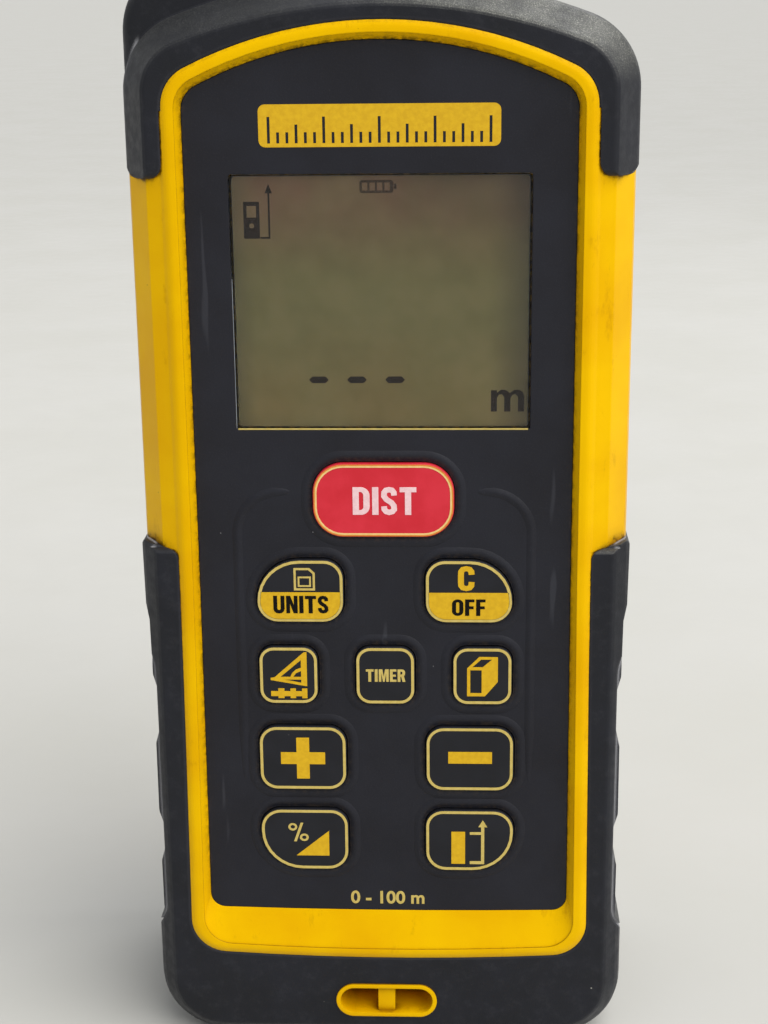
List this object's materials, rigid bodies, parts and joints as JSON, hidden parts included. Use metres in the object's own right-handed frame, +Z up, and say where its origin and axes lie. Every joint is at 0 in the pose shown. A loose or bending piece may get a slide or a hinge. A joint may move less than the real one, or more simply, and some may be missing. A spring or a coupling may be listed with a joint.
{
  "type": "laser distance meter",
  "caption": "Hand-held laser distance meter with rubber-armoured yellow housing, display, rubber keypad, top optics, battery door and fold-out measuring stop.",
  "frame": {"origin": "middle of the foot, on the surface that the instrument stands on", "axes": "+Z up along the laser beam, +X to the right seen from the keypad, -Y out of the keypad"},
  "size_m": [0.0628, 0.0362, 0.1427],
  "materials": {
    "yellow_housing": "satin, fine moulded texture",
    "black_rubber": "matte, dusty in the corners",
    "face_film": "matte printed film",
    "clear_window": "clear, lightly hazed",
    "lcd": "olive grey display",
    "white_plastic": "plain",
    "key_rubber": "matte silicone",
    "key_red": "matte silicone",
    "key_yellow": "matte silicone, lower half printed yellow",
    "silicone": "translucent grey",
    "circuit_board": "solder mask",
    "chip_black": "matte",
    "steel": "brushed",
    "aluminium": "as cast",
    "brass": "machined",
    "optical_glass": "coated",
    "filter_glass": "red band filter",
    "black_plastic": "fine spark texture",
    "cell_jacket": "printed sleeve",
    "copper_film": "polyimide",
    "label": "plain silver grey film"
  },
  "bodies": {
    "instrument": {"front_housing": "yellow_housing", "rear_housing": "yellow_housing", "lanyard_loop": "yellow_housing", "top_bumper": "black_rubber", "grip_boot": "black_rubber", "housing_seal": "silicone", "face_panel": "face_film", "display_window": "clear_window", "lcd_frame": "white_plastic", "lcd_glass": "lcd", "light_guide": "white_plastic", "zebra_strip": "silicone", "keypad_mat": "silicone", "dome_contacts": "steel", "main_board": "circuit_board", "processor_chip": "chip_black", "memory_chip": "chip_black", "tilt_sensor": "chip_black", "power_inductor": "chip_black", "shield_can": "steel", "buzzer": "black_plastic", "board_screws": "steel", "housing_screws": "steel", "ribbon_cable": "copper_film", "end_plate": "black_plastic", "receiver_lens": "optical_glass", "lens_ring": "black_plastic", "optics_chassis": "aluminium", "laser_barrel": "brass", "collimator_lens": "optical_glass", "laser_diode": "steel", "laser_window": "optical_glass", "optical_filter": "filter_glass", "photodiode": "chip_black", "receiver_board": "circuit_board", "battery_left": "cell_jacket", "battery_right": "cell_jacket", "battery_springs": "steel", "battery_plates": "steel", "door_pin": "steel", "stop_pin": "steel", "tripod_insert": "brass", "rear_label": "label"},
    "key_measure": {"key_measure": "key_red"},
    "key_units": {"key_units": "key_yellow"},
    "key_clear_off": {"key_clear_off": "key_yellow"},
    "key_angle": {"key_angle": "key_rubber"},
    "key_timer": {"key_timer": "key_rubber"},
    "key_volume": {"key_volume": "key_rubber"},
    "key_plus": {"key_plus": "key_rubber"},
    "key_minus": {"key_minus": "key_rubber"},
    "key_slope": {"key_slope": "key_rubber"},
    "key_reference": {"key_reference": "key_rubber"},
    "battery_door": {"battery_door": "black_plastic"},
    "measuring_stop": {"measuring_stop": "black_plastic"}
  },
  "joints": [
    {"name": "press_measure", "type": "slide", "parent": "instrument", "child": "key_measure", "axis": [0, 1, 0], "range_m": [0, 0.0007], "stiffness_N_per_m": 2000},
    {"name": "press_units", "type": "slide", "parent": "instrument", "child": "key_units", "axis": [0, 1, 0], "range_m": [0, 0.0007], "stiffness_N_per_m": 2000},
    {"name": "press_clear_off", "type": "slide", "parent": "instrument", "child": "key_clear_off", "axis": [0, 1, 0], "range_m": [0, 0.0007], "stiffness_N_per_m": 2000},
    {"name": "press_angle", "type": "slide", "parent": "instrument", "child": "key_angle", "axis": [0, 1, 0], "range_m": [0, 0.0007], "stiffness_N_per_m": 2000},
    {"name": "press_timer", "type": "slide", "parent": "instrument", "child": "key_timer", "axis": [0, 1, 0], "range_m": [0, 0.0007], "stiffness_N_per_m": 2000},
    {"name": "press_volume", "type": "slide", "parent": "instrument", "child": "key_volume", "axis": [0, 1, 0], "range_m": [0, 0.0007], "stiffness_N_per_m": 2000},
    {"name": "press_plus", "type": "slide", "parent": "instrument", "child": "key_plus", "axis": [0, 1, 0], "range_m": [0, 0.0007], "stiffness_N_per_m": 2000},
    {"name": "press_minus", "type": "slide", "parent": "instrument", "child": "key_minus", "axis": [0, 1, 0], "range_m": [0, 0.0007], "stiffness_N_per_m": 2000},
    {"name": "press_slope", "type": "slide", "parent": "instrument", "child": "key_slope", "axis": [0, 1, 0], "range_m": [0, 0.0007], "stiffness_N_per_m": 2000},
    {"name": "press_reference", "type": "slide", "parent": "instrument", "child": "key_reference", "axis": [0, 1, 0], "range_m": [0, 0.0007], "stiffness_N_per_m": 2000},
    {"name": "door_hinge", "type": "hinge", "parent": "instrument", "child": "battery_door", "pos_m": [0, 0.0161, 0.0276], "axis": [-1, 0, 0], "range_deg": [0, 95]},
    {"name": "stop_hinge", "type": "hinge", "parent": "instrument", "child": "measuring_stop", "pos_m": [0, 0.01655, 0.0026], "axis": [-1, 0, 0], "range_deg": [0, 180]}
  ]
}
